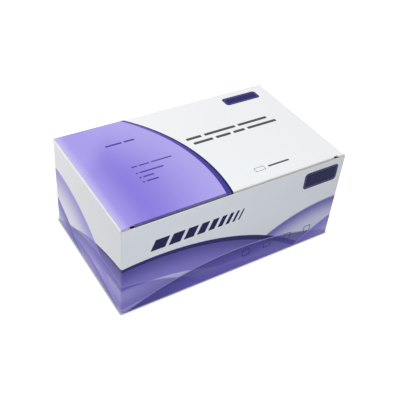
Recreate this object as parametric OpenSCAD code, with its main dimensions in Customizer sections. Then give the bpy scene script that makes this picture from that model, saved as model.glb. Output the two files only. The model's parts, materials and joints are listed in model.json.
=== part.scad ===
// Folding carton of creased paperboard: a tuck lid with slit-lock ears, and a snap-lock bottom.
// Millimetres. X runs along the front wall, Y from the front wall to the back wall, Z up.
// The origin is on the table, under the middle of the carton.

/* [Carton] */
// Outside length, along the front wall
length = 200; // [160:1:280]
// Outside depth, from the front wall to the back wall
depth = 120; // [100:1:180]
// Outside height, from the table to the top of the lid
height = 85; // [50:1:160]

/* [Board] */
// Thickness of the paperboard
board = 0.5; // [0.35:0.05:0.6]
// Outside radius of the walls' creases
crease_r = 1.3; // [0.8:0.1:1.4]
// Air between two boards that lie on each other
layer_gap = 0.1; // [0.05:0.05:0.2]
// Cut that frees the end of a flap from the next wall
flap_slit = 0.4; // [0.3:0.1:1.5]
// Height of the cut wall corners above the table
corner_lift = 0.3; // [0.1:0.1:0.8]

/* [Lid] */
// Outside radius of the rolled crease that the lid turns on
hinge_r = 0.75; // [0.65:0.05:0.9]
// How far the lid's side edges stay inside the side walls' outer faces
lid_side_set = 0.9; // [0.5:0.1:2]
// How far the ears stay behind the front wall's outer face
ear_set = 0.4; // [0:0.05:0.45]
// Length of the flat ears, from the carton's ends
ear_len = 7; // [5:0.5:15]
// Radius of the ears' outer front corners
ear_corner_r = 1; // [0.5:0.1:3]
// Width of the open notch at the inner end of each slit
notch_w = 4; // [1.5:0.5:5]

/* [Tuck flap] */
// Outside radius of the crease at the lid's front edge
tuck_crease_r = 1.5; // [0.7:0.1:1.8]
// Depth of the tuck flap below the top of the lid
tuck_depth = 18; // [12:1:30]
// Radius of the tuck flap's lower corners
tuck_corner_r = 11; // [4:1:12]
// How far the tuck flap's ends stay inside the side walls' outer faces
tuck_side_set = 1.8; // [1.6:0.1:5]
// Gap between the front wall and the tuck flap, and under the ears
tuck_gap = 0.8; // [0.3:0.05:1]
// Clearance of the tuck flap from the dust flaps
dust_gap = 0.3; // [0.2:0.05:0.6]

/* [Dust flaps] */
// Length of each dust flap, from its crease
dust_len = 52; // [30:1:70]
// Length of the square shoulder beside the slit lock
shoulder_len = 6; // [4:1:14]
// Step from the shoulder to the relieved front edge
shoulder_step = 1.7; // [1:0.1:3]
// How far the front edge tapers towards the tip
dust_front_taper = 6; // [2:1:14]
// How far the back edge tapers towards the tip
dust_back_taper = 12; // [4:1:20]
// Radius of the dust flaps' tip corners
dust_tip_r = 9; // [3:1:14]

/* [Glue flap] */
// Width of the glue flap behind the right wall
glue_w = 14; // [8:1:20]
// How much each end of the glue flap slopes away
glue_taper = 5; // [1:1:10]
// How far the glued seam's cut edge stops short of the back wall's outer face
seam_set = 0.6; // [0.3:0.1:1]

/* [Bottom] */
// How far the front bottom flap ends before the middle of the carton
meet_set = 2; // [0:0.5:6]
// Width of the locking tongue
tongue_w = 96; // [70:1:110]
// How far the tongue reaches past the middle of the carton
tongue_reach = 27; // [20:1:34]
// Length over which the tongue climbs above the back bottom flap
tongue_climb = 10; // [8:0.5:14]
// How far each side of the tongue slopes in towards its end
tongue_taper = 5; // [1:1:10]
// Radius of the tongue's corners
tongue_r = 9; // [3:1:12]
// Clearance at each side of the tongue
tongue_side_gap = 3; // [1.5:0.5:5]
// Gap from the top of the tongue's climb to the edge that it locks over
lock_gap = 1; // [0.5:0.5:3]
// How far the side bottom flaps step back beside the tongue
side_step = 7; // [4:1:12]
// How far the back bottom flap's two arms reach past the middle
arm_reach = 12; // [6:1:20]
// Length over which the back bottom flap climbs from its crease
back_climb = 12; // [8:1:16]
// How far the back bottom flap narrows at each side over its climb
back_taper = 5; // [2:1:10]

/* [Hidden] */
half_l = length / 2;
half_d = depth / 2;
// Top of the walls and of the dust flaps, where the lid lies
rim_z = height - board - layer_gap;
// Distance from a wall's outer face to the ends of its neighbours' flaps
flap_end = max(crease_r + flap_slit, 2 * board + tuck_gap + dust_gap);
// Undersides of the folded bottom's second, third and fourth boards
layer = board + layer_gap;
// The hinge line lies in the middle of the lid's rolled back crease
hinge_y = half_d - hinge_r;
hinge_z = height - hinge_r;
// Top of the back wall, just below the crease that turns on it
back_rim_z = height - 2 * hinge_r - layer_gap;
// The tuck flap is an arc about the hinge line, so it swings clear of the front wall
tuck_r = hinge_y + half_d - board - tuck_gap;
// The crease's centre, seen from the hinge line, where the crease runs into that arc
tuck_fold = [
    -sqrt(pow(tuck_r - tuck_crease_r, 2) - pow(tuck_crease_r - hinge_r, 2)),
    hinge_r - tuck_crease_r
];
fold_half_w = half_l - ear_len - notch_w;
// Small corner radii of the die-cut outlines
nick_r = 0.8;
cut_r = 2.5;
// Straight part of the back bottom flap beside its crease, on which the carton stands
back_foot = 3;
back_level_y = half_d - crease_r - back_foot - back_climb;
// Flat length drawn with each crease, which it shares with the boards that it joins
crease_leg = 0.3;
// Depth to which the seam's glue joins the two boards
glue_bond = 0.05;
// Steps of each rounded corner and crease, and of the tuck flap's long arc
corner_steps = 8;
tuck_steps = 12;

function unit(v) = v / norm(v);
function xy(corner) = [corner.x, corner.y];

// Points of an arc of radius r about the origin, from one angle to another
function arc(r, from, to, steps = corner_steps) =
    [for (i = [0 : steps]) let (a = from + (to - from) * i / steps) r * [cos(a), sin(a)]];

function moved(points, by) = [for (p = points) p + by];

// Arc of radius r that rounds the corner p between its neighbours a and b
function corner_arc(a, p, b, r) =
    let (
        u = unit(a - p),
        v = unit(b - p),
        half = acos(u * v) / 2,
        centre = p + unit(u + v) * r / sin(half),
        in = p + u * r / tan(half) - centre,
        out = p + v * r / tan(half) - centre,
        start = atan2(in.y, in.x),
        sweep = (atan2(out.y, out.x) - start + 540) % 360 - 180
    )
    moved(arc(r, start, start + sweep), centre);

// Outline through corners [x, y, radius], each rounded to its own radius
function rounded(corners) =
    let (n = len(corners))
    [for (i = [0 : n - 1])
        let (p = corners[i])
        for (q = p[2] == 0
            ? [xy(p)]
            : corner_arc(xy(corners[(i + n - 1) % n]), xy(p), xy(corners[(i + 1) % n]), p[2]))
        q];

// The right half of an outline, followed by its mirror image
function both_sides(right) = concat(
    right,
    [for (i = [len(right) - 1 : -1 : 0]) [-right[i].x, right[i].y, right[i][2]]]
);

// Extrudes a section drawn in Y and Z along X, centred
module along_x(run) {
    rotate([90, 0, 90]) linear_extrude(run, center = true) children();
}

// Section of a square crease about the origin: board bent to outside radius r, with two short legs
module crease(r) {
    polygon(concat(
        [[r - board, -crease_leg], [r, -crease_leg]],
        arc(r, 0, 90),
        [[-crease_leg, r], [-crease_leg, r - board]],
        arc(r - board, 90, 0)
    ));
}

// A wall from its left end to its right end, seen from outside, with its outer face on the X axis.
// The bottom crease brings its flap in at height foot, and the top crease its dust flap.
module wall(left, right, top, foot, top_crease = false, overlap = 0) {
    root_left = left + flap_end - crease_r;
    root_right = right - flap_end + crease_r;
    root = root_right - root_left;
    difference() {
        translate([left, 0, corner_lift])
            cube([right + overlap - left, board, top - corner_lift]);
        translate([root_left, -board, 0])
            cube([root, 3 * board, foot + crease_r]);
        if (top_crease)
            translate([root_left, -board, top - crease_r])
                cube([root, 3 * board, 2 * crease_r]);
    }
    translate([(root_left + root_right) / 2, crease_r, 0]) {
        translate([0, 0, foot + crease_r])
            along_x(root) rotate(180) crease(crease_r);
        if (top_crease)
            translate([0, 0, top - crease_r])
                along_x(root) rotate(90) crease(crease_r);
    }
}

// A vertical crease about the point x, y, on its quarter that starts at angle turn
module upright_crease(x, y, top, turn) {
    translate([x, y, corner_lift])
        linear_extrude(top - corner_lift) rotate(turn) crease(crease_r);
}

module walls() {
    color([0.79, 0.80, 0.86]) {
        translate([0, -half_d, 0])
            wall(crease_r - half_l, half_l - crease_r, rim_z, 0);
        translate([0, half_d, 0]) rotate(180)
            wall(crease_r + board - half_l, half_l - crease_r, back_rim_z, 0);
        translate([-half_l, 0, 0]) rotate(-90)
            wall(crease_r - half_d, half_d - crease_r, rim_z, layer, true);
        translate([half_l, 0, 0]) rotate(90)
            wall(crease_r - half_d, half_d - crease_r, rim_z, layer, true, crease_r - seam_set);
        upright_crease(crease_r - half_l, crease_r - half_d, rim_z, 180);
        upright_crease(half_l - crease_r, crease_r - half_d, rim_z, 270);
        upright_crease(crease_r - half_l, half_d - crease_r, back_rim_z, 90);
        upright_crease(half_l - board - crease_r, half_d - crease_r, back_rim_z, 0);
    }
}

// The flap that glues the back wall's end to the inside of the right wall
module glue_flap() {
    low = layer + 2 * crease_r;
    high = rim_z - 2 * crease_r;
    color([0.85, 0.84, 0.82])
        translate([half_l - 2 * board, 0, 0])
            rotate([90, 0, 90]) linear_extrude(board + glue_bond) polygon(rounded([
                [half_d - crease_r, low, 0],
                [half_d - crease_r, high, 0],
                [half_d - glue_w, high - glue_taper, cut_r],
                [half_d - glue_w, low + glue_taper, cut_r]
            ]));
}

// The left dust flap, folded in level at the rim
module dust_flap() {
    root_x = crease_r - half_l;
    tip_x = root_x + dust_len;
    front_y = flap_end - half_d;
    back_y = half_d - flap_end;
    color([0.93, 0.92, 0.90])
        translate([0, 0, rim_z - board])
            linear_extrude(board) polygon(rounded([
                [root_x, front_y, 0],
                [root_x + shoulder_len, front_y, nick_r],
                [root_x + shoulder_len + nick_r, front_y + shoulder_step, nick_r / 2],
                [tip_x, front_y + shoulder_step + dust_front_taper, dust_tip_r],
                [tip_x, back_y - dust_back_taper, dust_tip_r],
                [root_x + cut_r, back_y, nick_r],
                [root_x, back_y, 0]
            ]));
}

// Outermost bottom flap, from the front wall: its tongue climbs through the bottom and locks
module front_bottom_flap() {
    top_y = tongue_climb - meet_set;
    color([0.88, 0.87, 0.85])
        intersection() {
            along_x(length) polygon([
                [crease_r - half_d, 0],
                [-meet_set, 0],
                [top_y, 3 * layer],
                [tongue_reach, 3 * layer],
                [tongue_reach, 3 * layer + board],
                [top_y, 3 * layer + board],
                [-meet_set, board],
                [crease_r - half_d, board]
            ]);
            linear_extrude(4 * layer) polygon(rounded(both_sides([
                [half_l - flap_end, crease_r - half_d, 0],
                [half_l - flap_end - cut_r, -meet_set, cut_r],
                [tongue_w / 2, -meet_set, nick_r],
                [tongue_w / 2 - tongue_taper, tongue_reach, tongue_r]
            ])));
        }
}

// Second layer of the bottom: the left side flap, stepped back beside the tongue
module side_bottom_flap() {
    root_x = crease_r - half_l;
    beside_x = -tongue_w / 2 - tongue_side_gap;
    step_y = -meet_set - cut_r;
    color([0.90, 0.89, 0.87])
        translate([0, 0, layer])
            linear_extrude(board) polygon(rounded([
                [root_x, flap_end - half_d, 0],
                [beside_x + side_step, flap_end - half_d + cut_r, cut_r],
                [beside_x + side_step, step_y, nick_r],
                [beside_x, step_y, nick_r],
                [beside_x, tongue_climb, cut_r],
                [root_x + back_taper, back_level_y, nick_r],
                [root_x, half_d - flap_end, 0]
            ]));
}

// Third layer of the bottom: the back flap, whose two arms hold the side flaps down
module back_bottom_flap() {
    side_x = half_l - flap_end - board;
    notch_x = tongue_w / 2 + tongue_side_gap;
    lock_y = tongue_climb - meet_set + lock_gap;
    crease_y = half_d - crease_r;
    color([0.92, 0.91, 0.89])
        intersection() {
            along_x(length) polygon([
                [crease_y, 0],
                [crease_y - back_foot, 0],
                [back_level_y, 2 * layer],
                [-arm_reach, 2 * layer],
                [-arm_reach, 2 * layer + board],
                [back_level_y, 2 * layer + board],
                [crease_y - back_foot, board],
                [crease_y, board]
            ]);
            linear_extrude(3 * layer) polygon(rounded(both_sides([
                [notch_x, lock_y, cut_r],
                [notch_x, -arm_reach, cut_r],
                [side_x - back_taper, -arm_reach, 2 * cut_r],
                [side_x - back_taper, back_level_y, cut_r],
                [side_x, crease_y - back_foot, 0],
                [side_x, crease_y, 0]
            ])));
        }
}

// One folded and glued sheet: walls, glue flap, dust flaps and the interlocked bottom
module carton() {
    walls();
    glue_flap();
    front_bottom_flap();
    back_bottom_flap();
    for (side = [0, 1])
        mirror([side, 0, 0]) {
            dust_flap();
            side_bottom_flap();
        }
}

// The lid's flat panel with its ears over the front wall's ends, up to the hinge line
module lid_panel() {
    side_x = half_l - lid_side_set;
    ear_y = ear_set - half_d;
    fold_y = hinge_y + tuck_fold.x;
    color([0.95, 0.95, 0.97])
        translate([0, 0, height - board])
            linear_extrude(board) polygon(rounded(both_sides([
                [half_l - ear_len, fold_y, 0],
                [half_l - ear_len, ear_y, 0],
                [side_x, ear_y, ear_corner_r],
                [side_x, hinge_y, 0]
            ])));
}

// The rolled crease that the lid turns on, under the panel's back edge
module hinge_crease() {
    color([0.95, 0.95, 0.97])
        translate([0, hinge_y, hinge_z])
            rotate([0, 90, 0])
                cylinder(h = length - 2 * lid_side_set, r = hinge_r, center = true, $fn = 32);
}

// The tuck flap, from its crease to its free edge, with the shoulders below the ears.
// Its section is drawn about the hinge line: a leg in the lid's panel, the crease, and the long arc.
module tuck_flap() {
    shoulder_x = half_l - tuck_side_set;
    low_z = height - tuck_depth;
    start = 180 + asin((tuck_crease_r - hinge_r) / (tuck_r - tuck_crease_r));
    end = 180 + asin(tuck_depth / tuck_r);
    leg_y = tuck_fold.x + crease_leg;
    color([0.93, 0.92, 0.90])
        intersection() {
            translate([0, hinge_y, hinge_z])
                along_x(length) polygon(concat(
                    [[leg_y, hinge_r]],
                    moved(arc(tuck_crease_r, 90, start), tuck_fold),
                    arc(tuck_r, start, end, tuck_steps),
                    arc(tuck_r - board, end, start, tuck_steps),
                    moved(arc(tuck_crease_r - board, start, 90), tuck_fold),
                    [[leg_y, hinge_r - board]]
                ));
            rotate([90, 0, 0])
                linear_extrude(depth) polygon(rounded(both_sides([
                    [fold_half_w, height + board, 0],
                    [fold_half_w, hinge_z - tuck_gap, 0],
                    [shoulder_x, hinge_z - tuck_gap, nick_r],
                    [shoulder_x, low_z, tuck_corner_r]
                ])));
        }
}

module lid() {
    lid_panel();
    hinge_crease();
    tuck_flap();
}

carton();
lid();
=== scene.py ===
"""Looks of a folding carton: printed and coated board, the hinge crease, a pale floor and soft light."""

import json
import logging
import math
from abc import ABC, abstractmethod
from dataclasses import dataclass
from enum import Enum
from typing import Any

import bmesh
import bpy
from mathutils import Matrix, Vector


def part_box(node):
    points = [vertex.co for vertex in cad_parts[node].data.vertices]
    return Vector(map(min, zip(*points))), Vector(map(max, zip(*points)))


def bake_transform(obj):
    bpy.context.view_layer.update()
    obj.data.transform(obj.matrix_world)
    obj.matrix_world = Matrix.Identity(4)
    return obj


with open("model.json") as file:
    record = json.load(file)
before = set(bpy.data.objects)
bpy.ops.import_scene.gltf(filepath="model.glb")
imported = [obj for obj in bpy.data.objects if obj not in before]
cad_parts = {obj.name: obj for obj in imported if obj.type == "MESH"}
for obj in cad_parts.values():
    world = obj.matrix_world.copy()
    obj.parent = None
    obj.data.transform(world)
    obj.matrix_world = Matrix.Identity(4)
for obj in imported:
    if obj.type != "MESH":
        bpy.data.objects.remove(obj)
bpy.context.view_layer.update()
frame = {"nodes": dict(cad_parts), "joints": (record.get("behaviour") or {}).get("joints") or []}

MM = 0.001
METRES_TO_MM = 1000.0

Socket = bpy.types.NodeSocket
Feed = Socket | float | tuple[float, ...]
Sockets = dict[str, Socket]
Pair = tuple[float, float]

log = logging.getLogger("carton")


def linear(channel: float) -> float:
    """Linear light of one sRGB channel, both from 0 to 1."""
    return channel / 12.92 if channel <= 0.04045 else ((channel + 0.055) / 1.055) ** 2.4


def rgba(code: str) -> tuple[float, float, float, float]:
    """Linear colour of a six-digit display code.

    Args:
        code: Red, green and blue as hexadecimal digits.

    Returns:
        The colour that shader sockets take, fully opaque.
    """
    red, green, blue = (linear(int(code[i : i + 2], 16) / 255) for i in (0, 2, 4))
    return (red, green, blue, 1.0)


class Ink(Enum):
    """Inks of the print, as display codes."""

    NIGHT = "15114a"
    NAVY = "241c62"
    INDIGO = "443b98"
    VIOLET = "6a5fbe"
    LAVENDER = "8a7bdd"
    LILAC = "b5aaee"
    MIST = "dcd9f6"
    SHEEN = "efeefb"
    GRAPHITE = "2c2b36"

    @property
    def colour(self) -> tuple[float, float, float, float]:
        """The ink as a linear colour."""
        return rgba(self.value)


class NodeSketch:
    """Adds nodes to one tree, so that a shader is written as a few short formulas."""

    def __init__(self, tree: bpy.types.NodeTree) -> None:
        """Starts on a tree.

        Args:
            tree: The node tree of a material or of a group.
        """
        self.tree = tree

    @classmethod
    def fresh(cls, owner: bpy.types.Material | bpy.types.World) -> "NodeSketch":
        """Starts on the emptied tree of a material or a world.

        Args:
            owner: What the tree belongs to.

        Returns:
            The sketch of its tree.
        """
        owner.use_nodes = True
        owner.node_tree.nodes.clear()
        return cls(owner.node_tree)

    def add(self, kind: str, **settings: Any) -> bpy.types.Node:
        """Adds a node.

        Args:
            kind: Type name of the node.
            **settings: Properties of the node, by name.

        Returns:
            The new node.
        """
        node = self.tree.nodes.new(kind)
        for name, value in settings.items():
            setattr(node, name, value)
        return node

    def feed(self, socket: Socket, value: Feed) -> None:
        """Links a socket to another one, or gives it a plain value.

        Args:
            socket: Input of a node.
            value: The socket it is linked to, or its plain value.
        """
        if isinstance(value, bpy.types.NodeSocket):
            self.tree.links.new(value, socket)
        else:
            socket.default_value = value

    def math(self, operation: str, *values: Feed) -> Socket:
        """Result of a Math node on one, two or three values.

        Args:
            operation: The node's operation.
            *values: Its inputs in turn.

        Returns:
            The node's output.
        """
        node = self.add("ShaderNodeMath", operation=operation)
        for socket, value in zip(node.inputs, values):
            self.feed(socket, value)
        return node.outputs["Value"]

    def plus(self, first: Feed, second: Feed) -> Socket:
        """Sum of two values."""
        return self.math("ADD", first, second)

    def minus(self, first: Feed, second: Feed) -> Socket:
        """First value less the second."""
        return self.math("SUBTRACT", first, second)

    def times(self, first: Feed, second: Feed) -> Socket:
        """Product of two values."""
        return self.math("MULTIPLY", first, second)

    def unsigned(self, value: Feed) -> Socket:
        """A value without its sign."""
        return self.math("ABSOLUTE", value)

    def past(self, reach: Feed, half: Feed) -> Socket:
        """How far a coordinate lies past a half size; negative inside it."""
        return self.minus(self.unsigned(reach), half)

    def all_of(self, first: Feed, *others: Feed) -> Socket:
        """Mask that is set where all of the masks are.

        Args:
            first: A mask.
            *others: The other masks.

        Returns:
            The masks' product.
        """
        mask = first
        for other in others:
            mask = self.times(mask, other)
        return mask

    def any_of(self, first: Feed, *others: Feed) -> Socket:
        """Mask that is set where any of the masks is.

        Args:
            first: A mask.
            *others: The other masks.

        Returns:
            The greatest of the masks.
        """
        mask = first
        for other in others:
            mask = self.math("MAXIMUM", mask, other)
        return mask

    def inverse(self, mask: Feed) -> Socket:
        """Mask that is set where another one isn't."""
        return self.minus(1.0, mask)

    def over(self, value: Feed, limit: Feed) -> Socket:
        """Mask that is set where a value is over a limit."""
        return self.math("GREATER_THAN", value, limit)

    def under(self, value: Feed, limit: Feed) -> Socket:
        """Mask that is set where a value is under a limit."""
        return self.math("LESS_THAN", value, limit)

    def ramp(self, value: Feed, start: Feed, end: Feed, low: Feed = 0.0, high: Feed = 1.0) -> Socket:
        """Smooth change of a value.

        Args:
            value: What the change follows.
            start: Value up to which the result is low.
            end: Value from which the result is high.
            low: Result at the start.
            high: Result at the end.

        Returns:
            The result, which eases in and out.
        """
        node = self.add("ShaderNodeMapRange", interpolation_type="SMOOTHSTEP")
        names = ("Value", "From Min", "From Max", "To Min", "To Max")
        for name, given in zip(names, (value, start, end, low, high)):
            self.feed(node.inputs[name], given)
        return node.outputs["Result"]

    def mix(self, share: Feed, first: Feed, second: Feed, blend: str = "MIX") -> Socket:
        """Mixes two colours.

        Args:
            share: Share of the second colour, from 0 to 1.
            first: Colour at share 0.
            second: Colour at share 1.
            blend: Blend mode of the Mix node.

        Returns:
            The mixed colour.
        """
        node = self.add("ShaderNodeMix", data_type="RGBA", blend_type=blend)
        sockets = {socket.identifier: socket for socket in node.inputs}
        self.feed(sockets["Factor_Float"], share)
        self.feed(sockets["A_Color"], first)
        self.feed(sockets["B_Color"], second)
        return next(socket for socket in node.outputs if socket.identifier == "Result_Color")

    def vector(self, operation: str, *values: Feed, result: str = "Vector") -> Socket:
        """Result of a Vector Math node, which is a vector or a value.

        Args:
            operation: The node's operation.
            *values: Its inputs in turn.
            result: Name of the output that the operation fills.

        Returns:
            That output.
        """
        node = self.add("ShaderNodeVectorMath", operation=operation)
        for socket, value in zip(node.inputs, values):
            self.feed(socket, value)
        return node.outputs[result]

    def distance(self, first: Feed, second: Feed) -> Socket:
        """Distance between two points."""
        return self.vector("DISTANCE", first, second, result="Value")

    def length(self, vector: Feed) -> Socket:
        """Length of a vector."""
        return self.distance(vector, (0.0, 0.0, 0.0))

    def scaled(self, vector: Feed, factor: float) -> Socket:
        """A vector times a plain factor.

        Args:
            vector: The vector.
            factor: What it is multiplied by.

        Returns:
            The product of the two.
        """
        node = self.add("ShaderNodeVectorMath", operation="SCALE")
        self.feed(node.inputs[0], vector)
        node.inputs["Scale"].default_value = factor
        return node.outputs["Vector"]

    def parts(self, vector: Feed) -> tuple[Socket, Socket, Socket]:
        """The three components of a vector.

        Args:
            vector: The vector.

        Returns:
            Its X, Y and Z.
        """
        node = self.add("ShaderNodeSeparateXYZ")
        self.feed(node.inputs[0], vector)
        return node.outputs[0], node.outputs[1], node.outputs[2]

    def point(self, x: Feed, y: Feed, z: Feed = 0.0) -> Socket:
        """A vector of three components.

        Args:
            x: First component.
            y: Second component.
            z: Third component.

        Returns:
            The vector.
        """
        node = self.add("ShaderNodeCombineXYZ")
        for socket, value in zip(node.inputs, (x, y, z)):
            self.feed(socket, value)
        return node.outputs[0]

    def place_mm(self) -> Socket:
        """The shaded point in the piece's own frame, in millimetres."""
        return self.scaled(self.add("ShaderNodeTexCoord").outputs["Object"], METRES_TO_MM)

    def normal(self) -> Socket:
        """The surface normal in the piece's own frame."""
        return self.add("ShaderNodeTexCoord").outputs["Normal"]

    def noise(self, place: Feed, per_mm: float, detail: float = 2.0) -> Socket:
        """Noise of a given number of grains to the millimetre, from 0 to 1.

        Args:
            place: Where the noise is read, in millimetres.
            per_mm: Grains to the millimetre.
            detail: Levels of finer noise in it.

        Returns:
            The noise.
        """
        node = self.add("ShaderNodeTexNoise")
        self.feed(node.inputs["Vector"], place)
        node.inputs["Scale"].default_value = per_mm
        node.inputs["Detail"].default_value = detail
        return node.outputs["Fac"]

    def place_group(self, tree: bpy.types.NodeTree, **feeds: Feed) -> bpy.types.Node:
        """Places a node group.

        Args:
            tree: The group's tree.
            **feeds: Its inputs by name, with underscores for spaces.

        Returns:
            The group node.
        """
        node = self.add("ShaderNodeGroup", node_tree=tree)
        for name, value in feeds.items():
            self.feed(node.inputs[name.replace("_", " ")], value)
        return node


class SharedEffect(ABC):
    """A shader node group that several materials place with their own values."""

    name: str
    inputs: dict[str, str]
    outputs: dict[str, str] = {"Colour": "Color"}

    @classmethod
    def tree(cls) -> bpy.types.NodeTree:
        """Builds the group's tree the first time it is asked for.

        Returns:
            The node group's tree.
        """
        found = bpy.data.node_groups.get(cls.name)
        if found is not None:
            return found
        tree = bpy.data.node_groups.new(cls.name, "ShaderNodeTree")
        for in_out, sockets in (("INPUT", cls.inputs), ("OUTPUT", cls.outputs)):
            for name, kind in sockets.items():
                tree.interface.new_socket(name=name, in_out=in_out, socket_type=f"NodeSocket{kind}")
        sketch = NodeSketch(tree)
        given = sketch.add("NodeGroupInput").outputs
        results = cls.build(sketch, {name: given[name] for name in cls.inputs})
        end = sketch.add("NodeGroupOutput").inputs
        for name, result in results.items():
            sketch.feed(end[name], result)
        return tree

    @classmethod
    @abstractmethod
    def build(cls, sketch: NodeSketch, given: Sockets) -> Sockets:
        """Builds the group.

        Args:
            sketch: The group's tree.
            given: The group's inputs by name.

        Returns:
            The group's results by name.
        """


PRINT_BLUR = 0.1
CREST_LINE = 0.45


class DiscInk(SharedEffect):
    """Ink inside a large circle, that changes with the depth below the circle's crest."""

    name = "disc ink"
    inputs = {
        "Below": "Color",
        "Point": "Vector",
        "Centre": "Vector",
        "Radius": "Float",
        "Fade": "Float",
        "Crest Ink": "Color",
        "Deep Ink": "Color",
        "Crest Cover": "Float",
        "Deep Cover": "Float",
        "Crest Light": "Float",
        "Blur": "Float",
    }

    @classmethod
    def build(cls, sketch: NodeSketch, given: Sockets) -> Sockets:
        """Builds the ink's mask, its two inks and the light line on its crest.

        Args:
            sketch: The group's tree.
            given: The group's inputs by name.

        Returns:
            The group's one result, the colour with this ink on it.
        """
        reach = sketch.distance(given["Point"], given["Centre"])
        depth = sketch.minus(given["Radius"], reach)
        inside = sketch.ramp(depth, sketch.times(given["Blur"], -1.0), given["Blur"])
        fall = sketch.ramp(depth, 0.0, given["Fade"])
        ink = sketch.mix(fall, given["Crest Ink"], given["Deep Ink"])
        cover = sketch.ramp(depth, 0.0, given["Fade"], given["Crest Cover"], given["Deep Cover"])
        laid = sketch.mix(sketch.all_of(cover, inside), given["Below"], ink)
        line = sketch.ramp(depth, CREST_LINE, 3 * CREST_LINE, given["Crest Light"], 0.0)
        return {"Colour": sketch.mix(sketch.all_of(line, inside), laid, Ink.SHEEN.colour)}


class CrescentInk(SharedEffect):
    """Ink between a circle and the same circle moved aside: a blade that thins out to both ends."""

    name = "crescent ink"
    inputs = {
        "Below": "Color",
        "Point": "Vector",
        "Centre": "Vector",
        "Radius": "Float",
        "Shift": "Vector",
        "Broad Ink": "Color",
        "Tip Ink": "Color",
        "Broadest": "Float",
    }

    @classmethod
    def build(cls, sketch: NodeSketch, given: Sockets) -> Sockets:
        """Builds the mask between the two circles and its inks by the blade's breadth.

        Args:
            sketch: The group's tree.
            given: The group's inputs by name.

        Returns:
            The group's one result, the colour with this ink on it.
        """
        outer = sketch.distance(given["Point"], given["Centre"])
        moved_centre = sketch.vector("ADD", given["Centre"], given["Shift"])
        inner = sketch.distance(given["Point"], moved_centre)
        in_outer = sketch.ramp(sketch.minus(given["Radius"], outer), -PRINT_BLUR, PRINT_BLUR)
        past_inner = sketch.ramp(sketch.minus(inner, given["Radius"]), -PRINT_BLUR, PRINT_BLUR)
        breadth = sketch.minus(inner, outer)
        share = sketch.ramp(breadth, 0.0, given["Broadest"])
        ink = sketch.mix(share, given["Tip Ink"], given["Broad Ink"])
        return {"Colour": sketch.mix(sketch.all_of(in_outer, past_inner), given["Below"], ink)}


class PatchInk(SharedEffect):
    """Ink in a rounded rectangle, which may slant, or only along its outline."""

    name = "patch ink"
    inputs = {
        "Below": "Color",
        "Point": "Vector",
        "Centre": "Vector",
        "Half Size": "Vector",
        "Corner": "Float",
        "Slant": "Float",
        "Line": "Float",
        "Ink": "Color",
        "Cover": "Float",
    }

    @classmethod
    def build(cls, sketch: NodeSketch, given: Sockets) -> Sockets:
        """Builds the mask from the distance to the rectangle's rounded outline.

        Args:
            sketch: The group's tree.
            given: The group's inputs by name.

        Returns:
            The group's one result, the colour with this ink on it.
        """
        across, up, _ = sketch.parts(sketch.vector("SUBTRACT", given["Point"], given["Centre"]))
        across = sketch.minus(across, sketch.times(given["Slant"], up))
        half_across, half_up, _ = sketch.parts(given["Half Size"])
        past = [
            sketch.plus(sketch.past(reach, half), given["Corner"])
            for reach, half in ((across, half_across), (up, half_up))
        ]
        outward = [sketch.math("MAXIMUM", value, 0.0) for value in past]
        corner_reach = sketch.length(sketch.point(*outward))
        inward = sketch.math("MINIMUM", sketch.math("MAXIMUM", *past), 0.0)
        edge = sketch.minus(sketch.plus(corner_reach, inward), given["Corner"])
        half_line = sketch.times(given["Line"], 0.5)
        from_line = sketch.unsigned(sketch.plus(edge, half_line))
        mask = sketch.ramp(sketch.minus(half_line, from_line), -PRINT_BLUR, PRINT_BLUR)
        cover = sketch.all_of(mask, given["Cover"])
        return {"Colour": sketch.mix(cover, given["Below"], given["Ink"])}


class GlowInk(SharedEffect):
    """Ink that fades out along a straight line, such as a pale sheen beside a fold."""

    name = "glow ink"
    inputs = {
        "Below": "Color",
        "Point": "Vector",
        "Start": "Vector",
        "Run": "Vector",
        "Ink": "Color",
        "Cover": "Float",
    }

    @classmethod
    def build(cls, sketch: NodeSketch, given: Sockets) -> Sockets:
        """Builds the fade along the run, which is a vector from full ink to none.

        Args:
            sketch: The group's tree.
            given: The group's inputs by name.

        Returns:
            The group's one result, the colour with this ink on it.
        """
        from_start = sketch.vector("SUBTRACT", given["Point"], given["Start"])
        along = sketch.vector("DOT_PRODUCT", from_start, given["Run"], result="Value")
        length = sketch.length(given["Run"])
        share = sketch.math("DIVIDE", along, sketch.times(length, length))
        cover = sketch.ramp(share, 0.0, 1.0, given["Cover"], 0.0)
        return {"Colour": sketch.mix(cover, given["Below"], given["Ink"])}


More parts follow.
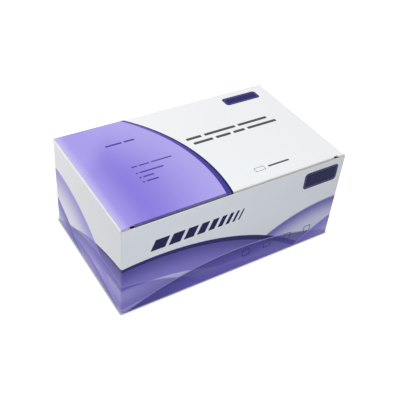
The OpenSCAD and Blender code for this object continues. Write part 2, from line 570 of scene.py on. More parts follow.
class Paperboard(SharedEffect):
    """Paperboard with a printed and coated outer face, a bare inner face and raw cut edges."""

    name = "paperboard"
    inputs = {
        "Print": "Color",
        "Outer Face": "Float",
        "Inner Face": "Float",
        "Inner Board": "Color",
        "Fleck": "Color",
        "Cut Edge": "Color",
        "Crease Wear": "Float",
    }
    outputs = {"Colour": "Color", "Roughness": "Float", "Height": "Float"}
    fibre_stretch = (0.3, 1.0, 1.0)
    # Of each noise, its grains to the millimetre and its levels of detail.
    fibre_noise = (1.6, 5.0)
    fleck_noise = (4.0, 2.0)
    wave_noise = (0.9, 3.0)
    grain_noise = (5.0, 1.0)
    wear_noise = (0.55, 4.0)
    # Of each ramp, its start and end, and where they are given its results at both.
    fibre_shade = (0.35, 0.7, 0.0, 0.35)
    fleck_shade = (0.62, 0.74, 0.0, 0.5)
    wear_shade = (0.38, 0.66, 0.35, 1.0)
    crease_turn = (0.03, 0.2)
    print_unevenness = 0.022
    worn_white = rgba("f3f2f4")
    coat_roughness = 0.36
    wave_roughness = 0.08
    wear_roughness = 0.3
    bare_roughness = 0.86
    fibre_height = 0.05
    wave_height = 0.012
    grain_height = 0.0012

    @classmethod
    def bare(cls, sketch: NodeSketch, given: Sockets, place: Socket, fibres: Socket) -> Socket:
        """Colour of the board where it has no coating.

        Args:
            sketch: The group's tree.
            given: The group's inputs by name.
            place: The shaded point, stretched along the fibres.
            fibres: The fibres' noise.

        Returns:
            The cut edge's or the inner face's colour, with fibres and flecks.
        """
        colour = sketch.mix(given["Inner Face"], given["Cut Edge"], given["Inner Board"])
        colour = sketch.mix(sketch.ramp(fibres, *cls.fibre_shade), colour, given["Fleck"])
        flecks = sketch.ramp(sketch.noise(place, *cls.fleck_noise), *cls.fleck_shade)
        return sketch.mix(flecks, colour, given["Fleck"])

    @classmethod
    def worn(cls, sketch: NodeSketch, place: Socket, share: Socket) -> Socket:
        """Mask of the coating's patchy wear on rounded creases.

        Args:
            sketch: The group's tree.
            place: The shaded point, in millimetres.
            share: How much of the print the wear takes off at most.

        Returns:
            The mask, which is zero on flat faces.
        """
        squareness = sketch.any_of(*sketch.parts(sketch.vector("ABSOLUTE", sketch.normal())))
        crease = sketch.ramp(sketch.inverse(squareness), *cls.crease_turn)
        patches = sketch.ramp(sketch.noise(place, *cls.wear_noise), *cls.wear_shade)
        return sketch.all_of(crease, patches, share)

    @classmethod
    def build(cls, sketch: NodeSketch, given: Sockets) -> Sockets:
        """Builds the board's fibres, the coating's fine waviness and the wear on its creases.

        Args:
            sketch: The group's tree.
            given: The group's inputs by name.

        Returns:
            The board's colour, roughness and fine height.
        """
        place = sketch.place_mm()
        fibre_place = sketch.vector("MULTIPLY", place, cls.fibre_stretch)
        fibres = sketch.noise(fibre_place, *cls.fibre_noise)
        waves = sketch.noise(place, *cls.wave_noise)
        grain = sketch.noise(place, *cls.grain_noise)
        wear = cls.worn(sketch, place, given["Crease Wear"])
        outer = given["Outer Face"]

        unevenness = sketch.times(sketch.plus(waves, grain), cls.print_unevenness)
        tone = sketch.plus(1.0 - cls.print_unevenness, unevenness)
        coated = sketch.mix(1.0, given["Print"], sketch.point(tone, tone, tone), "MULTIPLY")
        coated = sketch.mix(wear, coated, cls.worn_white)

        coat_level = sketch.plus(cls.coat_roughness, sketch.times(waves, cls.wave_roughness))
        coat_level = sketch.plus(coat_level, sketch.times(wear, cls.wear_roughness))
        coat_height = sketch.times(waves, cls.wave_height)
        coat_height = sketch.plus(coat_height, sketch.times(grain, cls.grain_height))
        bare_height = sketch.times(fibres, cls.fibre_height)
        return {
            "Colour": sketch.mix(outer, cls.bare(sketch, given, fibre_place, fibres), coated),
            "Roughness": sketch.ramp(outer, 0.0, 1.0, cls.bare_roughness, coat_level),
            "Height": sketch.ramp(outer, 0.0, 1.0, bare_height, coat_height),
        }


class PrintLayer(ABC):
    """One form of the print, in millimetres on the unfolded face."""

    effect: type[SharedEffect]

    @abstractmethod
    def feeds(self) -> dict[str, Feed]:
        """Gives the form's own values.

        Returns:
            The values by the names of the effect's inputs, with underscores for spaces.
        """

    def lay(self, sketch: NodeSketch, below: Feed, point: Socket) -> Socket:
        """Lays the form over what is below it.

        Args:
            sketch: The material's tree.
            below: Colour of what is printed already.
            point: The print's own coordinates.

        Returns:
            The colour with this form on it.
        """
        group = sketch.place_group(self.effect.tree(), Below=below, Point=point, **self.feeds())
        return group.outputs["Colour"]


Layers = tuple[PrintLayer, ...]


@dataclass(frozen=True)
class Disc(PrintLayer):
    """A large circle of translucent ink, of which the print shows the top of the arc.

    Its two covers are the ink's at the crest and below the fade.
    """

    effect = DiscInk
    centre: Pair
    radius: float
    crest: Ink
    deep: Ink
    fade: float
    covers: Pair = (1.0, 0.0)
    light: float = 0.0
    blur: float = PRINT_BLUR

    def feeds(self) -> dict[str, Feed]:
        """Gives the circle's measures, inks and covers.

        Returns:
            The values by input name.
        """
        return dict(
            Centre=(*self.centre, 0.0),
            Radius=self.radius,
            Fade=self.fade,
            Crest_Ink=self.crest.colour,
            Deep_Ink=self.deep.colour,
            Crest_Cover=self.covers[0],
            Deep_Cover=self.covers[1],
            Crest_Light=self.light,
            Blur=self.blur,
        )


@dataclass(frozen=True)
class Crescent(PrintLayer):
    """A dark blade along a circle's edge, broadest opposite to the way that the circle is moved."""

    effect = CrescentInk
    centre: Pair
    radius: float
    shift: Pair
    broad: Ink
    tip: Ink

    def feeds(self) -> dict[str, Feed]:
        """Gives the blade's measures and inks.

        Returns:
            The values by input name.
        """
        return dict(
            Centre=(*self.centre, 0.0),
            Radius=self.radius,
            Shift=(*self.shift, 0.0),
            Broad_Ink=self.broad.colour,
            Tip_Ink=self.tip.colour,
            Broadest=math.hypot(*self.shift),
        )


SOLID = 500.0
RULE_CORNER = 0.4
RULE_COVER = 0.94
SQUARE_CORNER = 0.8
SQUARE_LINE = 0.7
SQUARE_COVER = 0.9
BADGE_INSET = 1.3
BADGE_LINE = 0.3
BADGE_LINE_COVER = 0.5


@dataclass(frozen=True)
class Patch(PrintLayer):
    """A rounded rectangle, full or outlined."""

    effect = PatchInk
    centre: Pair
    size: Pair
    ink: Ink
    corner: float = 0.3
    slant: float = 0.0
    line: float = SOLID
    cover: float = 1.0

    def feeds(self) -> dict[str, Feed]:
        """Gives the rectangle's measures, ink and cover.

        Returns:
            The values by input name.
        """
        return dict(
            Centre=(*self.centre, 0.0),
            Half_Size=(self.size[0] / 2, self.size[1] / 2, 0.0),
            Corner=self.corner,
            Slant=self.slant,
            Line=self.line,
            Ink=self.ink.colour,
            Cover=self.cover,
        )


@dataclass(frozen=True)
class Glow(PrintLayer):
    """A pale or dark fade along a straight run."""

    effect = GlowInk
    start: Pair
    run: Pair
    ink: Ink
    cover: float

    def feeds(self) -> dict[str, Feed]:
        """Gives the fade's run, ink and cover.

        Returns:
            The values by input name.
        """
        return dict(
            Start=(*self.start, 0.0),
            Run=(*self.run, 0.0),
            Ink=self.ink.colour,
            Cover=self.cover,
        )


def rule_row(
    start: Pair,
    lengths: tuple[float, ...],
    height: float,
    gap: float,
    ink: Ink,
    slant: float = 0.0,
    cover: float = RULE_COVER,
) -> Layers:
    """A row of plain rules or bars.

    Args:
        start: Left end of the row, at its middle height.
        lengths: Length of each rule in turn.
        height: Height of the rules.
        gap: Space between two rules.
        ink: Their ink.
        slant: How far a rule leans for each unit of its height.
        cover: Cover of the ink.

    Returns:
        One patch for each rule.
    """
    rules = []
    left = start[0]
    for length in lengths:
        middle = (left + length / 2, start[1])
        rules.append(Patch(middle, (length, height), ink, RULE_CORNER, slant=slant, cover=cover))
        left += length + gap
    return tuple(rules)


def square_row(start: Pair, count: int, pitch: float, side: float, ink: Ink) -> Layers:
    """A row of small outlined squares.

    Args:
        start: Middle of the first square.
        count: How many there are.
        pitch: Distance from one to the next.
        side: Side of a square.
        ink: Their ink.

    Returns:
        One patch for each square.
    """
    centres = [(start[0] + i * pitch, start[1]) for i in range(count)]
    return tuple(
        Patch(centre, (side, side), ink, SQUARE_CORNER, line=SQUARE_LINE, cover=SQUARE_COVER)
        for centre in centres
    )


def badge(centre: Pair, size: Pair, corner: float, ink: Ink) -> Layers:
    """A plain dark badge with a fine pale line inside its edge.

    Args:
        centre: Middle of the badge.
        size: Width and height of the badge.
        corner: Radius of its corners.
        ink: Its field's ink.

    Returns:
        The badge's field and its line.
    """
    line_size = (size[0] - 2 * BADGE_INSET, size[1] - 2 * BADGE_INSET)
    line_corner = corner - BADGE_INSET / 2
    return (
        Patch(centre, size, ink, corner),
        Patch(centre, line_size, Ink.LILAC, line_corner, line=BADGE_LINE, cover=BADGE_LINE_COVER),
    )


TALL_ARC = ((30.0, -176.0), 226.0)
BAR_LENGTHS = (12.0, 10.0, 8.5, 7.0, 5.5, 4.3, 3.3, 2.4, 1.6)

# Millimetres round the walls from the front left corner, and above the table.
WALL_PRINT: Layers = (
    # The front wall's arcs from its left and right ends, a pale sheen and a low arc.
    Disc(*TALL_ARC, Ink.INDIGO, Ink.LAVENDER, fade=30.0, covers=(0.96, 0.9), light=0.2),
    Disc((196.0, -92.0), 136.0, Ink.VIOLET, Ink.MIST, fade=24.0, covers=(0.95, 0.7), light=0.5),
    Disc((14.0, -150.0), 176.0, Ink.MIST, Ink.VIOLET, fade=17.0, covers=(0.85, 0.85)),
    Disc((70.0, -330.0), 342.0, Ink.LILAC, Ink.INDIGO, fade=9.0, covers=(0.8, 0.8), light=0.5),
    # The dark blade along the tall arc.
    Crescent(*TALL_ARC, (-3.5, -3.5), Ink.NAVY, Ink.INDIGO),
    # The left wall's soft arcs, from the back to the front.
    Disc((-110.0, -60.0), 118.0, Ink.LAVENDER, Ink.MIST, 38.0, (0.8, 0.35), light=0.2, blur=0.9),
    Disc((-20.0, -140.0), 172.0, Ink.VIOLET, Ink.LILAC, 26.0, (0.7, 0.4), light=0.2, blur=0.7),
    # A low arc across the front wall, and one across the left wall.
    Disc((104.0, -214.0), 238.0, Ink.INDIGO, Ink.LAVENDER, fade=26.0, covers=(0.85, 0.8), light=0.4),
    Disc((-60.0, -120.0), 133.0, Ink.VIOLET, Ink.LILAC, fade=16.0, covers=(0.85, 0.5), light=0.3),
    # The right wall's arc and the back wall's two.
    Disc((278.0, -150.0), 190.0, Ink.LAVENDER, Ink.MIST, fade=34.0, covers=(0.9, 0.3), light=0.3),
    Disc((-210.0, -190.0), 236.0, Ink.VIOLET, Ink.MIST, fade=40.0, covers=(0.92, 0.35), light=0.25),
    Disc((-300.0, -120.0), 148.0, Ink.INDIGO, Ink.LILAC, fade=26.0, covers=(0.85, 0.5), light=0.3),
    # Bars, a badge and squares on the front wall.
    *rule_row((25.0, 61.0), BAR_LENGTHS, 10.0, 2.8, Ink.NIGHT, slant=0.4, cover=1.0),
    *badge((177.0, 71.0), (34.0, 16.0), 3.4, Ink.NIGHT),
    *square_row((112.0, 15.5), 4, 21.0, 7.0, Ink.NIGHT),
)

LID_ARC = ((-40.0, 30.0), 135.0)

# Millimetres from the panel's front left corner.
LID_PRINT: Layers = (
    # The violet field at the left end, paler towards the back and along the left edge.
    Disc(*LID_ARC, Ink.LILAC, Ink.LAVENDER, fade=75.0, covers=(1.0, 1.0)),
    Disc((-70.0, 160.0), 118.0, Ink.LILAC, Ink.LAVENDER, fade=50.0, covers=(0.5, 0.3), blur=9.0),
    Glow((0.0, 60.0), (30.0, 0.0), Ink.LILAC, 0.65),
    Glow((0.0, 60.0), (9.0, 0.0), Ink.MIST, 0.5),
    # The dark line along the front fold: painted shade where the fold turns down into the gap.
    Patch((51.5, 1.9), (81.0, 2.6), Ink.NAVY, cover=0.66),
    # The field's dark rim.
    Crescent(*LID_ARC, (-5.2, 2.6), Ink.INDIGO, Ink.LAVENDER),
    Crescent(*LID_ARC, (-1.7, 0.8), Ink.NIGHT, Ink.NAVY),
    # A badge, rules and a small outlined field on the white part.
    *badge((170.0, 107.0), (35.0, 11.0), 2.8, Ink.NAVY),
    *rule_row((94.0, 73.0), (14.0, 30.0, 29.0), 3.0, 3.0, Ink.GRAPHITE),
    *rule_row((97.0, 66.0), (18.0, 14.0, 11.0, 29.0), 3.0, 3.0, Ink.GRAPHITE),
    Patch((126.0, 16.0), (9.0, 4.4), Ink.GRAPHITE, RULE_CORNER, line=0.4),
    *rule_row((134.0, 16.0), (20.0,), 1.8, 1.8, Ink.GRAPHITE),
    # Rules on the violet field.
    *rule_row((32.0, 92.0), (14.0, 9.0), 2.0, 2.0, Ink.INDIGO),
    *rule_row((38.0, 60.0), (5.0, 9.0, 18.0), 1.4, 1.4, Ink.INDIGO),
    *rule_row((38.0, 52.0), (1.6, 20.0), 1.6, 1.6, Ink.INDIGO),
    *rule_row((38.0, 46.5), (1.6, 9.0), 1.6, 1.6, Ink.INDIGO),
    *rule_row((38.0, 41.0), (1.6, 10.0), 1.6, 1.6, Ink.INDIGO),
)


@dataclass(frozen=True)
class Zones:
    """Which face of the board a point is on."""

    outer: Socket
    inner: Socket


@dataclass(frozen=True)
class BoardFinish:
    """Coated paperboard: white and glossy outside, uncoated and greyish inside."""

    name: str
    inner_board: str = "e4e0d9"
    fleck: str = "cfc9bf"
    cut_edge: str = "ebe7e0"
    crease_wear: float = 0.12
    gloss: float = 0.1
    bump_distance: float = MM

    def build(self, piece: "PrintedBoard") -> bpy.types.Material:
        """Builds the material of a printed piece of board.

        Args:
            piece: The piece, which knows its faces and its print.

        Returns:
            The finished material.
        """
        material = bpy.data.materials.new(self.name)
        sketch = NodeSketch.fresh(material)
        zones = piece.zones(sketch)
        board = sketch.place_group(
            Paperboard.tree(),
            Print=piece.printed(sketch),
            Outer_Face=zones.outer,
            Inner_Face=zones.inner,
            Inner_Board=rgba(self.inner_board),
            Fleck=rgba(self.fleck),
            Cut_Edge=rgba(self.cut_edge),
            Crease_Wear=self.crease_wear,
        )
        bump = sketch.add("ShaderNodeBump")
        bump.inputs["Distance"].default_value = self.bump_distance
        sketch.feed(bump.inputs["Height"], board.outputs["Height"])
        shader = sketch.add("ShaderNodeBsdfPrincipled")
        sketch.feed(shader.inputs["Base Color"], board.outputs["Colour"])
        sketch.feed(shader.inputs["Roughness"], board.outputs["Roughness"])
        sketch.feed(shader.inputs["Normal"], bump.outputs["Normal"])
        shader.inputs["Specular IOR Level"].default_value = self.gloss
        output = sketch.add("ShaderNodeOutputMaterial")
        sketch.feed(output.inputs["Surface"], shader.outputs["BSDF"])
        return material


FACING = 0.3
LEANING = 0.1
SQUARE_ON = 0.9
BOARD_WHITE = rgba("f7f8f8")
# Warm grey multiplied into the lid's front crease as painted shade.
PAINTED_SHADE_TINT = rgba("e0d8cc")


@dataclass
class PrintedBoard(ABC):
    """A piece of printed board. It tells its faces apart and lays its print on them."""

    node: bpy.types.Object
    half_length: float
    half_depth: float
    height: float
    layers: Layers

    @abstractmethod
    def zones(self, sketch: NodeSketch) -> Zones:
        """The piece's faces as masks."""

    @abstractmethod
    def print_point(self, sketch: NodeSketch) -> Socket:
        """The print's coordinates at the shaded point, in millimetres."""

    @abstractmethod
    def print_area(self, sketch: NodeSketch) -> Socket:
        """Mask of where the print is laid."""

    def painted_rim_highlight(self, sketch: NodeSketch) -> Feed:
        """Mask of where the print gives way to white board as a painted highlight; none by default."""
        return 0.0

    def painted_fold_shade(self, sketch: NodeSketch) -> Feed:
        """Mask of painted shade darkening the coating; none by default."""
        return 0.0

    def printed(self, sketch: NodeSketch) -> Socket:
        """The printed colour at the shaded point.

        Args:
            sketch: The material's tree.

        Returns:
            The colour with all layers, the painted rim highlight and the painted fold shade.
        """
        point = self.print_point(sketch)
        colour: Feed = BOARD_WHITE
        for layer in self.layers:
            colour = layer.lay(sketch, colour, point)
        # The print gives way to white board where the rims carry a painted highlight.
        left = sketch.all_of(self.print_area(sketch), sketch.inverse(self.painted_rim_highlight(sketch)))
        laid = sketch.mix(left, BOARD_WHITE, colour)
        # The painted shade of the lid's front crease is multiplied in last.
        return sketch.mix(self.painted_fold_shade(sketch), laid, PAINTED_SHADE_TINT, "MULTIPLY")

    def dress(self, pieces: list[bpy.types.Object], finish: BoardFinish) -> None:
        """Gives pieces their material.

        Args:
            pieces: Objects that share this print.
            finish: The board's finish.
        """
        material = finish.build(self)
        for piece in pieces:
            if not piece.material_slots:
                piece.data.materials.append(material)
            for slot in piece.material_slots:
                slot.material = material
            log.info("%s is dressed in %s", piece.name, finish.name)


@dataclass
class Carton(PrintedBoard):
    """The walls, dust flaps and bottom. The print runs round the walls from the front left corner."""

    layers: Layers = WALL_PRINT
    rim_depth: float = 2.0
    flap_edge: float = 2.1
    wall_skin: float = 1.05
    floor_layers: float = 3.0
    seam_face: float = 0.52
    corner_foot: float = 2.15
    foot_bend: float = 1.15
    # Depth and strength of the painted highlight along the walls' top rims.
    rim_highlight: float = 0.9
    rim_highlight_share: float = 0.8

    def zones(self, sketch: NodeSketch) -> Zones:
        """Tells the coated outside from the bare inside and the cut edges.

        Args:
            sketch: The material's tree.

        Returns:
            The masks of the coated and of the bare face.
        """
        x, y, z = sketch.parts(sketch.place_mm())
        nx, ny, nz = sketch.parts(sketch.normal())
        out_x = sketch.times(nx, sketch.math("SIGN", x))
        out_y = sketch.times(ny, sketch.math("SIGN", y))
        aside = sketch.unsigned(x)
        away = sketch.unsigned(y)
        on_wall = sketch.over(z, self.foot_bend)
        at_end = sketch.over(aside, self.half_length - self.wall_skin)
        at_face = sketch.over(away, self.half_depth - self.wall_skin)
        in_floor = sketch.under(z, self.floor_layers)
        at_rim = sketch.over(z, self.height - self.rim_depth)
        beside_slit = sketch.under(away, self.half_depth - self.flap_edge)
        foot_corner = sketch.all_of(
            sketch.over(aside, self.half_length - self.corner_foot),
            sketch.over(away, self.half_depth - self.corner_foot),
        )
        up = sketch.over(nz, FACING)
        down = sketch.under(nz, -FACING)
        bent_down = sketch.under(nz, -LEANING)
        seam_edge = sketch.all_of(
            sketch.over(x, self.half_length - self.seam_face), sketch.over(ny, SQUARE_ON)
        )
        coated = sketch.any_of(
            sketch.all_of(sketch.over(out_x, FACING), at_end, on_wall),
            sketch.all_of(sketch.over(out_y, FACING), at_face, on_wall),
            sketch.all_of(bent_down, in_floor, sketch.inverse(foot_corner)),
            sketch.all_of(up, at_rim, beside_slit),
        )
        inner = sketch.any_of(
            sketch.under(out_x, -FACING),
            sketch.under(out_y, -FACING),
            sketch.all_of(up, in_floor),
            sketch.all_of(down, at_rim),
        )
        return Zones(sketch.all_of(coated, sketch.inverse(seam_edge)), inner)

    def print_point(self, sketch: NodeSketch) -> Socket:
        """Distance round the walls from the front left corner, and height.

        Args:
            sketch: The material's tree.

        Returns:
            The print's coordinates, in millimetres.
        """
        x, y, z = sketch.parts(sketch.place_mm())
        nx, ny, _ = sketch.parts(sketch.normal())
        on_end = sketch.over(sketch.unsigned(nx), sketch.unsigned(ny))
        on_right = sketch.all_of(on_end, sketch.over(x, 0.0))
        on_left = sketch.all_of(on_end, sketch.under(x, 0.0))
        on_back = sketch.all_of(sketch.inverse(on_end), sketch.over(y, 0.0))
        from_left = sketch.plus(x, self.half_length)
        from_front = sketch.plus(y, self.half_depth)
        along_right = sketch.plus(from_front, 2 * self.half_length)
        along_left = sketch.times(from_front, -1.0)
        along_back = sketch.minus(-2 * self.half_depth, from_left)
        along = from_left
        for mask, other in ((on_right, along_right), (on_left, along_left), (on_back, along_back)):
            kept = sketch.times(along, sketch.inverse(mask))
            along = sketch.plus(kept, sketch.times(other, mask))
        return sketch.point(along, z)

    def painted_rim_highlight(self, sketch: NodeSketch) -> Feed:
        """The walls' upper rims, paled towards white board as a painted highlight of the lit top edge.

        Args:
            sketch: The material's tree.

        Returns:
            The mask of the painted rim highlight.
        """
        _, _, z = sketch.parts(sketch.place_mm())
        start = self.height - self.rim_highlight
        return sketch.ramp(z, start, self.height - self.rim_highlight / 4, 0.0, self.rim_highlight_share)

    def print_area(self, sketch: NodeSketch) -> Socket:
        """The walls and the foot creases, but not the bottom flaps or the dust flaps."""
        nx, ny, _ = sketch.parts(sketch.vector("ABSOLUTE", sketch.normal()))
        return sketch.over(sketch.math("MAXIMUM", nx, ny), FACING)


@dataclass
class Lid(PrintedBoard):
    """The lid's panel, its creases and the tuck flap. The print starts at its front left corner."""

    layers: Layers = LID_PRINT
    board: float = 0.5
    ear_length: float = 11.0
    ear_drop: float = 0.7
    tuck_skin: float = 4.0
    hinge_skin: float = 1.6
    bleed: float = 2.2
    # Reach from the front edge and depth below the top of the painted shade in the front crease, in
    # millimetres.
    shade_reach: Pair = (1.4, 2.8)
    shade_depth: float = 1.3

    def zones(self, sketch: NodeSketch) -> Zones:
        """Tells the coated outside from the bare inside and the cut edges.

        Args:
            sketch: The material's tree.

        Returns:
            The masks of the coated and of the bare face.
        """
        x, y, z = sketch.parts(sketch.place_mm())
        _, ny, nz = sketch.parts(sketch.normal())
        at_tuck = sketch.under(y, self.tuck_skin - self.half_depth)
        at_hinge = sketch.over(y, self.half_depth - self.hinge_skin)
        off_ears = sketch.any_of(
            sketch.under(sketch.unsigned(x), self.half_length - self.ear_length),
            sketch.under(z, self.height - self.ear_drop),
        )
        outer = sketch.any_of(
            sketch.over(nz, FACING),
            sketch.all_of(sketch.under(ny, -FACING), at_tuck, off_ears),
            at_hinge,
        )
        inner = sketch.any_of(
            sketch.all_of(sketch.under(nz, -FACING), sketch.over(z, self.height - 2 * self.board)),
            sketch.all_of(sketch.over(ny, FACING), at_tuck),
        )
        return Zones(outer, inner)

    def print_point(self, sketch: NodeSketch) -> Socket:
        """Distance from the panel's left end, and from its front edge."""
        x, y, _ = sketch.parts(sketch.place_mm())
        return sketch.point(sketch.plus(x, self.half_length), sketch.plus(y, self.half_depth))

    def painted_fold_shade(self, sketch: NodeSketch) -> Feed:
        """Painted shade in the crease between the panel and the tuck flap.

        Args:
            sketch: The material's tree.

        Returns:
            The mask of the painted shade in the crease.
        """
        _, y, z = sketch.parts(sketch.place_mm())
        near = sketch.ramp(sketch.plus(y, self.half_depth), *self.shade_reach, 1.0, 0.0)
        down = sketch.minus(self.height, z)
        return sketch.all_of(near, sketch.ramp(down, self.shade_depth, 2 * self.shade_depth, 1.0, 0.0))

    def print_area(self, sketch: NodeSketch) -> Socket:
        """The panel, with a bleed over the tuck flap's crease."""
        _, _, z = sketch.parts(sketch.place_mm())
        return sketch.over(z, self.height - self.bleed)


def add_object(name: str, data: bpy.types.ID) -> bpy.types.Object:
    """Adds an object to the scene.

    Args:
        name: Its name.
        data: Its mesh, camera or light.

    Returns:
        The new object.
    """
    added = bpy.data.objects.new(name, data)
    bpy.context.scene.collection.objects.link(added)
    return added


@dataclass
class HingeCrease:
    """The bent strip of board between the back wall's top and the rolled crease of the lid.

    It is a thin closed skin in the groove between the two.
    """

    hinge: Vector
    wall_top: float
    back_y: float
    half_width: float
    skin: float = 0.12
    lap: float = 0.02
    inset: float = 0.01
    dent: float = 0.16
    rows: int = 10
    columns: int = 96

    def profile(self) -> list[Pair]:
        """Points of the skin's outer face in Y and Z, from the wall up to the roll, in millimetres.

        Returns:
            The points, from the lowest to the highest.
        """
        low = self.wall_top - self.lap
        high = self.hinge.z
        points = []
        for row in range(self.rows + 1):
            share = row / self.rows
            sag = self.dent * math.sin(math.pi * share) ** 2
            points.append((self.back_y - self.inset - sag, low + (high - low) * share))
        return points

    def build(self) -> bpy.types.Object:
        """Builds the skin as one closed mesh.

        Returns:
            The new object, in metres in the carton's frame.
        """
        outer = self.profile()
        inner = [(y - self.skin, z) for y, z in reversed(outer)]
        ring = outer + inner
        mesh = bpy.data.meshes.new("hinge_crease")
        work = bmesh.new()
        rings = []
        for column in range(self.columns + 1):
            x = self.half_width * (2 * column / self.columns - 1)
            rings.append([work.verts.new(Vector((x, y, z)) * MM) for y, z in ring])
        for left, right in zip(rings, rings[1:]):
            for i in range(len(ring)):
                following = (i + 1) % len(ring)
                work.faces.new((left[i], left[following], right[following], right[i]))
        work.faces.new(rings[0][::-1])
        work.faces.new(rings[-1])
        bmesh.ops.recalc_face_normals(work, faces=work.faces)
        work.to_mesh(mesh)
        work.free()
        return add_object("hinge_crease", mesh)

    def attach(self, piece: bpy.types.Object) -> None:
        """Bakes the skin's place into its mesh, in the carton's frame.

        Args:
            piece: The skin's object.
        """
        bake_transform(piece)


@dataclass(frozen=True)
class CameraStand:
    """The camera of the photograph, found from the carton's seven corners."""

    azimuth: float = -35.30
    elevation: float = 40.19
    roll: float = 5.77
    distance: float = 0.5884
    aim_right: float = 0.0033
    aim_up: float = 0.0230
    lens: float = 60.67
    sensor: float = 36.0

    def place(self) -> bpy.types.Object:
        """Adds the camera and makes it the scene's own.

        Returns:
            The camera.
        """
        turn, rise, roll = (math.radians(a) for a in (self.azimuth, self.elevation, self.roll))
        back = Vector((math.sin(turn) * math.cos(rise), -math.cos(turn) * math.cos(rise), math.sin(rise)))
        right = Vector((math.cos(turn), math.sin(turn), 0.0))
        up = back.cross(right)
        rolled_right = math.cos(roll) * right + math.sin(roll) * up
        rolled_up = math.cos(roll) * up - math.sin(roll) * right
        place = self.aim_right * right + self.aim_up * up + self.distance * back
        data = bpy.data.cameras.new("camera")
        data.lens = self.lens
        data.sensor_width = self.sensor
        camera = add_object("camera", data)
        turned = Matrix((rolled_right, rolled_up, back)).transposed()
        camera.matrix_world = Matrix.Translation(place) @ turned.to_4x4()
        bpy.context.scene.camera = camera
        return camera


@dataclass(frozen=True)
class Softbox:
    """One square area light."""

    name: str
    place: tuple[float, float, float]
    size: float
    watts: float
    tint: str = "ffffff"

    def hang(self, aim: Vector) -> None:
        """Adds the light, facing a point.

        Args:
            aim: The point that it faces.
        """
        data = bpy.data.lights.new(self.name, "AREA")
        data.shape = "SQUARE"
        data.size = self.size
        data.energy = self.watts
        data.color = rgba(self.tint)[:3]
        light = add_object(self.name, data)
        light.location = self.place
        light.rotation_euler = (aim - Vector(self.place)).to_track_quat("-Z", "Y").to_euler()


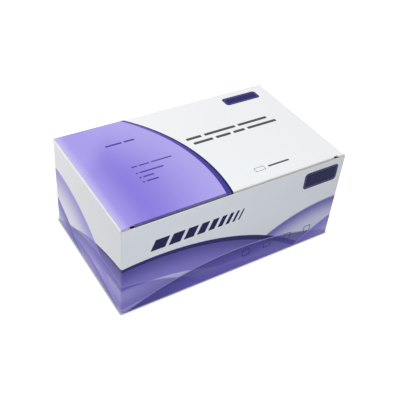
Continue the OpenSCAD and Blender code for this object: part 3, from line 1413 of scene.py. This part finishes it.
@dataclass(frozen=True)
class Studio:
    """A pale floor with a painted contact shadow at the carton's foot, and plain soft light."""

    half_length: float
    half_depth: float
    floor_half: float = 3.0
    floor_colour: str = "f2f2f3"
    seen_floor: str = "b4b4b6"
    # The low glow at the foot, the width over which it rises and the shift of that ring to the left and
    # back paint a contact shadow.
    painted_shadow_glow: float = 0.1
    floor_glow: float = 0.84
    painted_shadow_width: float = 1.6
    painted_shadow_shift: tuple[float, float, float] = (-0.25, 0.4, 0.0)
    far_field: Pair = (350.0, 1500.0)
    sky_colour: str = "eef1f6"
    sky_strength: float = 0.16
    boxes: tuple[Softbox, ...] = (
        Softbox("key_light", (-0.2, 0.3, 1.4), 1.2, 15.2),
        Softbox("side_light", (-0.32, 0.24, 0.24), 0.2, 0.32),
        Softbox("front_light", (-0.08, -0.34, 0.24), 0.2, 0.36, "e2ebfa"),
        Softbox("right_light", (0.46, 0.08, 0.2), 0.2, 0.3),
    )

    def seen_directly(self, sketch: NodeSketch) -> Socket:
        """Mask of camera, mirror and see-through rays."""
        rays = sketch.add("ShaderNodeLightPath").outputs
        return sketch.any_of(rays["Is Camera Ray"], rays["Is Glossy Ray"], rays["Is Transmission Ray"])

    def glow_level(self, sketch: NodeSketch) -> Socket:
        """How much the floor glows: little at the carton's foot, which paints a contact shadow there,
        more beside it, and fully far away.

        Args:
            sketch: The material's tree.

        Returns:
            The glow's strength, from 0 to 1.
        """
        x, y, _ = sketch.parts(sketch.vector("SUBTRACT", sketch.place_mm(), self.painted_shadow_shift))
        past = [
            sketch.math("MAXIMUM", sketch.past(reach, half), 0.0)
            for reach, half in ((x, self.half_length), (y, self.half_depth))
        ]
        away = sketch.length(sketch.point(*past))
        # The dip in the glow at the carton's foot is a painted contact shadow.
        beside = sketch.ramp(away, 0.0, self.painted_shadow_width, self.painted_shadow_glow, self.floor_glow)
        return sketch.plus(beside, sketch.ramp(away, *self.far_field, 0.0, 1.0 - self.floor_glow))

    def lay_floor(self) -> bpy.types.Object:
        """Adds the floor, which glows a little for the camera, keeps its shadows and has a painted
        contact shadow at the carton's foot.

        Returns:
            The floor.
        """
        mesh = bpy.data.meshes.new("floor")
        reach = self.floor_half
        turns = ((-1, -1), (1, -1), (1, 1), (-1, 1))
        corners = [(reach * x, reach * y, 0.0) for x, y in turns]
        mesh.from_pydata(corners, [], [(0, 1, 2, 3)])
        floor = add_object("floor", mesh)
        material = bpy.data.materials.new("pale floor")
        sketch = NodeSketch.fresh(material)
        matt = sketch.add("ShaderNodeBsdfDiffuse")
        seen = self.seen_directly(sketch)
        colour = sketch.mix(seen, rgba(self.floor_colour), rgba(self.seen_floor))
        sketch.feed(matt.inputs["Color"], colour)
        glow = sketch.add("ShaderNodeEmission")
        sketch.feed(glow.inputs["Strength"], sketch.all_of(seen, self.glow_level(sketch)))
        both = sketch.add("ShaderNodeAddShader")
        sketch.feed(both.inputs[0], matt.outputs[0])
        sketch.feed(both.inputs[1], glow.outputs[0])
        output = sketch.add("ShaderNodeOutputMaterial")
        sketch.feed(output.inputs["Surface"], both.outputs[0])
        mesh.materials.append(material)
        return floor

    def light_sky(self) -> None:
        """Gives the world its soft light, and a white look where it is seen directly."""
        world = bpy.data.worlds.new("studio")
        bpy.context.scene.world = world
        sketch = NodeSketch.fresh(world)
        seen = self.seen_directly(sketch)
        sky = sketch.add("ShaderNodeBackground")
        sketch.feed(sky.inputs["Color"], sketch.mix(seen, rgba(self.sky_colour), (1.0, 1.0, 1.0, 1.0)))
        strength = sketch.plus(self.sky_strength, sketch.times(seen, 1.0 - self.sky_strength))
        sketch.feed(sky.inputs["Strength"], strength)
        output = sketch.add("ShaderNodeOutputWorld")
        sketch.feed(output.inputs["Surface"], sky.outputs[0])

    def set_up(self, aim: Vector) -> None:
        """Lays the floor and hangs the lights.

        Args:
            aim: The point that the lights face.
        """
        self.lay_floor()
        self.light_sky()
        for box in self.boxes:
            box.hang(aim)
        log.info("the floor and %d lights are set up", len(self.boxes))


def back_wall_top(carton: bpy.types.Object, back_y: float) -> float:
    """Height of the back wall's cut top edge.

    Args:
        carton: The carton's solid.
        back_y: The back wall's outer face, in millimetres.

    Returns:
        The height in millimetres.
    """
    near_face = 0.2
    tops = [v.co.z for v in carton.data.vertices if v.co.y * METRES_TO_MM > back_y - near_face]
    return max(tops) * METRES_TO_MM


def main() -> None:
    """Builds the camera, the studio and the dressed carton, in that order."""
    logging.basicConfig(level=logging.INFO, format="%(name)s: %(message)s")
    bpy.context.scene.view_settings.view_transform = "Standard"
    CameraStand().place()
    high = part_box("carton")[1] * METRES_TO_MM
    lid_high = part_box("lid")[1] * METRES_TO_MM
    hinge = Vector(frame["joints"][0]["pos_m"]) * METRES_TO_MM
    Studio(high.x, high.y).set_up(Vector((0.0, 0.0, lid_high.z / 2)) * MM)

    carton = Carton(frame["nodes"]["carton"], high.x, high.y, high.z)
    lid = Lid(frame["nodes"]["lid"], high.x, high.y, lid_high.z)
    crease = HingeCrease(
        hinge=hinge,
        wall_top=back_wall_top(carton.node, high.y),
        back_y=high.y,
        half_width=lid_high.x,
    )
    strip = crease.build()
    crease.attach(strip)
    carton.dress([carton.node, strip], BoardFinish("coated carton board"))
    lid.dress([lid.node], BoardFinish("coated lid board"))


if __name__ == "__main__":
    main()
